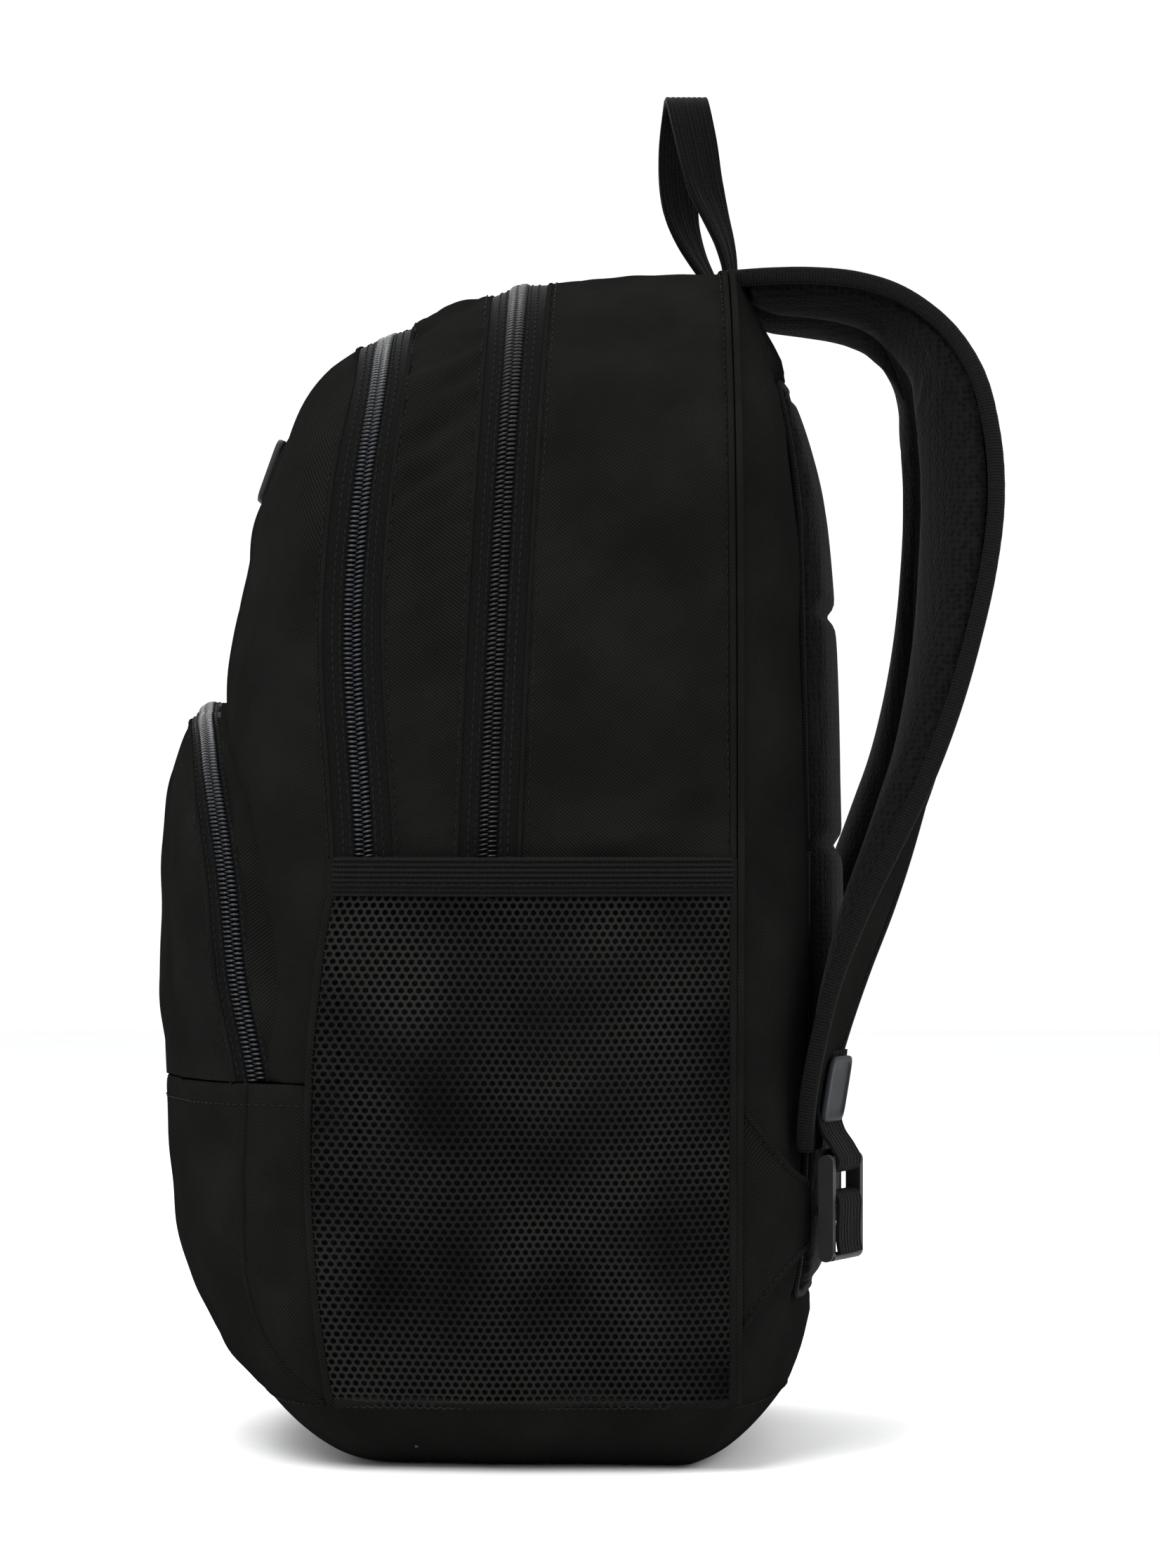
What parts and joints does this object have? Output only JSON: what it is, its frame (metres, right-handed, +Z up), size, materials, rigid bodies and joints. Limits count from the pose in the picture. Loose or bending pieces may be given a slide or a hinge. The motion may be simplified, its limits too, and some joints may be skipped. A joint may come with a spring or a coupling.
{
  "type": "school backpack",
  "caption": "Soft school backpack with arched two-way main zip, front compartment, zipped front pocket, mesh bottle pockets, padded straps, ladder-lock buckles and haul loop.",
  "frame": {"origin": "centre of the flat base that the bag stands on", "axes": "+Z up, +Y towards the wearer's back and the shoulder straps, -Y towards the pockets, +X the wearer's right"},
  "size_m": [0.3418, 0.3085, 0.5135],
  "materials": {
    "black_cloth": "matt woven polyester",
    "lining_cloth": "thin plain lining",
    "air_mesh": "padded spacer mesh",
    "pocket_mesh": "open knitted mesh",
    "elastic": "ribbed elastic",
    "webbing": "ribbed webbing",
    "zip_tape": "herringbone tape",
    "black_coil": "moulded coil",
    "grey_coil": "moulded coil",
    "slider_metal": "black lacquer",
    "buckle_plastic": "moulded, satin",
    "base_stiffener": "plain sheet",
    "label_rubber": "moulded, matt",
    "foam": "closed-cell foam sheet"
  },
  "bodies": {
    "pack": {"back_panel": "air_mesh", "back_foam": "foam", "laptop_sleeve": "lining_cloth", "rear_gusset": "black_cloth", "side_panel_right": "black_cloth", "side_panel_left": "black_cloth", "front_pocket_panel": "black_cloth", "front_panel_lower": "lining_cloth", "base_panel": "black_cloth", "base_board": "base_stiffener", "mesh_pocket_right": "pocket_mesh", "mesh_pocket_left": "pocket_mesh", "pocket_elastic_right": "elastic", "pocket_elastic_left": "elastic", "main_zip_tape_rear": "zip_tape", "main_zip_coil_rear": "black_coil", "anchor_wing_right": "black_cloth", "anchor_wing_left": "black_cloth", "strap_head_right": "black_cloth", "strap_head_left": "black_cloth", "divider_lower": "lining_cloth", "front_fold": "black_cloth", "pocket_zip_tape": "zip_tape", "pocket_zip_coil": "grey_coil", "back_seam_piping": "webbing"},
    "front_section": {"mid_gusset": "black_cloth", "front_gusset": "black_cloth", "front_panel": "black_cloth", "pocket_panel_upper": "black_cloth", "main_zip_tape_front": "zip_tape", "main_zip_coil_front": "black_coil", "front_zip_tape": "zip_tape", "front_zip_coil": "grey_coil", "divider_panel": "lining_cloth", "front_patch": "label_rubber"},
    "main_slider_upper": {"main_slider_upper": "slider_metal"},
    "main_pull_upper": {"main_pull_upper": "slider_metal"},
    "main_slider_lower": {"main_slider_lower": "slider_metal"},
    "main_pull_lower": {"main_pull_lower": "slider_metal"},
    "front_slider": {"front_slider": "slider_metal"},
    "front_pull": {"front_pull": "slider_metal"},
    "pocket_slider": {"pocket_slider": "slider_metal"},
    "pocket_pull": {"pocket_pull": "slider_metal"},
    "strap_right": {"shoulder_strap_right": "black_cloth", "strap_webbing_right": "webbing", "strap_label": "label_rubber"},
    "ladder_lock_right": {"ladder_lock_right": "buckle_plastic", "adjuster_webbing_right": "webbing"},
    "strap_left": {"shoulder_strap_left": "black_cloth", "strap_webbing_left": "webbing"},
    "ladder_lock_left": {"ladder_lock_left": "buckle_plastic", "adjuster_webbing_left": "webbing"},
    "haul_loop": {"haul_loop": "webbing"}
  },
  "joints": [
    {"name": "main_opening", "type": "hinge", "parent": "pack", "child": "front_section", "pos_m": [0, -0.023, 0.22], "axis": [1, 0, 0], "range_deg": [0, 20], "deforming": ["front_fold", "pocket_zip_tape", "pocket_zip_coil"]},
    {"name": "main_slider_upper_slide", "type": "slide", "parent": "pack", "child": "main_slider_upper", "axis": [0, 0.0446, 0.999], "range_m": [0, 0.03]},
    {"name": "main_pull_upper_swing", "type": "hinge", "parent": "main_slider_upper", "child": "main_pull_upper", "pos_m": [-0.15719, -0.01952, 0.30401], "axis": [-0.0524, 0.9976, -0.0445], "range_deg": [0, 150]},
    {"name": "main_slider_lower_slide", "type": "slide", "parent": "pack", "child": "main_slider_lower", "axis": [0, 0.0446, 0.999], "range_m": [0, 0.01]},
    {"name": "main_pull_lower_swing", "type": "hinge", "parent": "main_slider_lower", "child": "main_pull_lower", "pos_m": [-0.15719, -0.02184, 0.25201], "axis": [-0.0524, 0.9976, -0.0445], "range_deg": [0, 150]},
    {"name": "front_slider_slide", "type": "slide", "parent": "front_section", "child": "front_slider", "axis": [0, -0.0444, 0.999], "range_m": [0, 0.04]},
    {"name": "front_pull_swing", "type": "hinge", "parent": "front_slider", "child": "front_pull", "pos_m": [-0.15092, -0.07029, 0.25592], "axis": [-0.3259, 0.9445, 0.042], "range_deg": [0, 150]},
    {"name": "pocket_slider_slide", "type": "slide", "parent": "pack", "child": "pocket_slider", "axis": [-0.0105, -0.1961, 0.9805], "range_m": [0, 0.018]},
    {"name": "pocket_pull_swing", "type": "hinge", "parent": "pocket_slider", "child": "pocket_pull", "pos_m": [-0.1345, -0.10946, 0.14763], "axis": [-0.3645, 0.9131, 0.1826], "range_deg": [0, 150]},
    {"name": "strap_swing_right", "type": "hinge", "parent": "pack", "child": "strap_right", "pos_m": [0.052, 0.125, 0.427], "axis": [-0.1902, 0.0907, 0.9775], "range_deg": [-22, 8]},
    {"name": "ladder_lock_tilt_right", "type": "hinge", "parent": "strap_right", "child": "ladder_lock_right", "pos_m": [0.11, 0.1045, 0.1105], "axis": [0.9272, -0.3746, 0], "range_deg": [0, 25]},
    {"name": "strap_swing_left", "type": "hinge", "parent": "pack", "child": "strap_left", "pos_m": [-0.052, 0.125, 0.427], "axis": [-0.1902, -0.0907, -0.9775], "range_deg": [-22, 8]},
    {"name": "ladder_lock_tilt_left", "type": "hinge", "parent": "strap_left", "child": "ladder_lock_left", "pos_m": [-0.11, 0.1045, 0.1105], "axis": [0.9272, 0.3746, 0], "range_deg": [0, 25]},
    {"name": "haul_loop_fold", "type": "hinge", "parent": "pack", "child": "haul_loop", "pos_m": [0, 0.056, 0.45], "axis": [1, 0, 0], "range_deg": [-75, 65], "stiffness_Nm_per_rad": 0.06}
  ]
}
